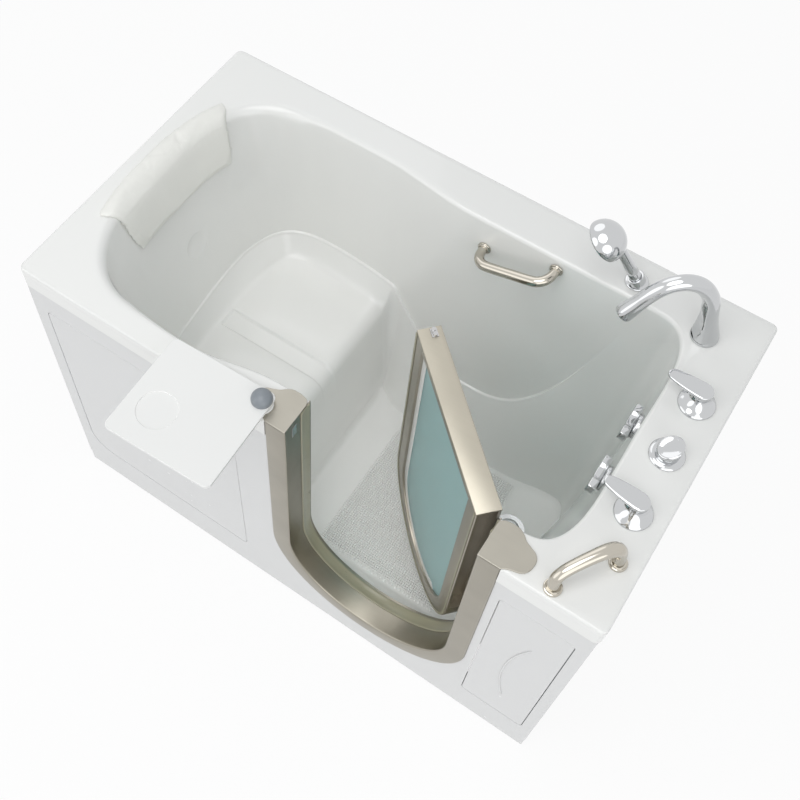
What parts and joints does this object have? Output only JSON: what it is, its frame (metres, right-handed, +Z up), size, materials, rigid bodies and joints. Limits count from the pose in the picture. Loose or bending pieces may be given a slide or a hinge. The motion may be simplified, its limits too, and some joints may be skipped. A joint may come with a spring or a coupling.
{
  "type": "walk-in bathtub",
  "caption": "Walk-in bathtub with an inward-swinging glass door, moulded seat, headrest pad, swivelling side tray, grab bars, deck taps, arched spout and hand shower.",
  "frame": {"origin": "on the floor under the middle of the tub's deck, at the bottom of the centre levelling foot", "axes": "+X along the tub towards the taps, +Y from the door side towards the wall side, +Z up"},
  "size_m": [1.32, 0.9275, 1.0925],
  "materials": {
    "shell": "smooth glossy moulded acrylic",
    "apron": "smooth satin moulded acrylic",
    "jamb_metal": "brushed warm stainless steel",
    "door_metal": "brushed stainless steel",
    "cap_metal": "satin champagne metal",
    "seal": "translucent olive rubber",
    "door_glass": "frosted teal tempered glass",
    "border": "white enamel print on glass",
    "hardware": "satin steel hardware",
    "chrome": "polished chrome",
    "nickel": "polished nickel",
    "spray_face": "grey plastic nozzle face",
    "pad": "cream soft vinyl skin over foam",
    "tray_plastic": "white moulded plastic",
    "knob_plastic": "grey moulded plastic",
    "frame_steel": "grey painted square tube",
    "foot_steel": "zinc plated steel",
    "board": "sealed plywood",
    "catch_plastic": "dark plastic catch",
    "brass": "plain brass nut",
    "copper": "plain copper tube",
    "pipe": "white waste pipe"
  },
  "bodies": {
    "tub": {"tub_shell": "shell", "front_apron": "apron", "left_access_panel": "apron", "right_access_panel": "apron", "panel_catches": "catch_plastic", "front_rail": "frame_steel", "rear_rail": "frame_steel", "left_rail": "frame_steel", "right_rail": "frame_steel", "head_rail": "frame_steel", "seat_rail": "frame_steel", "middle_rail": "frame_steel", "drain_rail": "frame_steel", "corner_posts": "frame_steel", "seat_bearer": "board", "seat_legs": "frame_steel", "floor_board": "board", "levelling_feet": "foot_steel", "foot_lock_nuts": "foot_steel", "door_jamb": "jamb_metal", "left_jamb_cap": "cap_metal", "right_jamb_cap": "cap_metal", "jamb_gasket": "seal", "latch_strike": "hardware", "jamb_hinge_leaves": "hardware", "hinge_pins": "hardware", "headrest": "pad", "tray_pivot": "tray_plastic", "wall_grab_bar": "nickel", "deck_grab_bar": "nickel", "fixing_nuts": "brass", "spout": "chrome", "shower_holder": "chrome", "hot_valve": "chrome", "cold_valve": "chrome", "diverter_valve": "chrome", "supply_tubes": "copper", "overflow_plates": "chrome", "drain_flanges": "chrome", "rear_waste_pipe": "pipe", "front_waste_pipe": "pipe"},
    "door": {"door_frame": "door_metal", "door_top_rail": "cap_metal", "door_glass": "door_glass", "glass_border": "border", "door_seal": "seal", "door_hinge_leaves": "hardware", "latch_case": "hardware"},
    "latch": {"latch_thumb": "hardware"},
    "tray": {"tray": "tray_plastic"},
    "tray_knob": {"tray_knob": "knob_plastic"},
    "hot_handle": {"hot_handle": "chrome"},
    "cold_handle": {"cold_handle": "chrome"},
    "diverter_knob": {"diverter_knob": "chrome"},
    "hand_shower": {"hand_shower": "chrome", "shower_face": "spray_face"},
    "rear_knob": {"rear_overflow_knob": "chrome"},
    "front_knob": {"front_overflow_knob": "chrome"},
    "rear_plug": {"rear_drain_plug": "chrome"},
    "front_plug": {"front_drain_plug": "chrome"}
  },
  "joints": [
    {"name": "door_hinge", "type": "hinge", "parent": "tub", "child": "door", "pos_m": [0.41, -0.278, 0.62], "axis": [0, 0, 1], "range_deg": [-47.4, 42.6]},
    {"name": "latch_turn", "type": "hinge", "parent": "door", "child": "latch", "pos_m": [0.11037, -0.02693, 0.893], "axis": [0, 0, 1], "range_deg": [-90, 90]},
    {"name": "tray_swivel", "type": "hinge", "parent": "tub", "child": "tray", "pos_m": [-0.0705, -0.3465, 0.908], "axis": [0, 0, 1], "range_deg": [-100, 90]},
    {"name": "tray_knob_turn", "type": "hinge", "parent": "tub", "child": "tray_knob", "pos_m": [-0.0705, -0.3465, 0.924], "axis": [0, 0, 1], "range_deg": [-120, 120]},
    {"name": "hot_lever", "type": "hinge", "parent": "tub", "child": "hot_handle", "pos_m": [0.597, 0.12, 0.93], "axis": [0, 0, 1], "range_deg": [0, 90]},
    {"name": "cold_lever", "type": "hinge", "parent": "tub", "child": "cold_handle", "pos_m": [0.597, -0.146, 0.93], "axis": [0, 0, 1], "range_deg": [-90, 0]},
    {"name": "diverter_turn", "type": "hinge", "parent": "tub", "child": "diverter_knob", "pos_m": [0.597, -0.009, 0.92], "axis": [0, 0, 1], "range_deg": [-60, 60]},
    {"name": "shower_lift", "type": "slide", "parent": "tub", "child": "hand_shower", "axis": [-0.4415, -0.2347, 0.866], "range_m": [0, 0.09]},
    {"name": "rear_knob_turn", "type": "hinge", "parent": "tub", "child": "rear_knob", "pos_m": [0.52529, 0.058, 0.815], "axis": [0.9948, 0, -0.1019], "range_deg": [0, 60]},
    {"name": "front_knob_turn", "type": "hinge", "parent": "tub", "child": "front_knob", "pos_m": [0.52529, -0.075, 0.815], "axis": [0.9948, 0, -0.1019], "range_deg": [0, 60]},
    {"name": "rear_plug_lift", "type": "slide", "parent": "tub", "child": "rear_plug", "axis": [0, 0, 1], "range_m": [0, 0.01]},
    {"name": "front_plug_lift", "type": "slide", "parent": "tub", "child": "front_plug", "axis": [0, 0, 1], "range_m": [0, 0.01]}
  ],
  "couplings": [
    {"joint": "rear_plug_lift", "follows": "rear_knob_turn", "m_per_rad": 0.0095},
    {"joint": "front_plug_lift", "follows": "front_knob_turn", "m_per_rad": 0.0095}
  ]
}
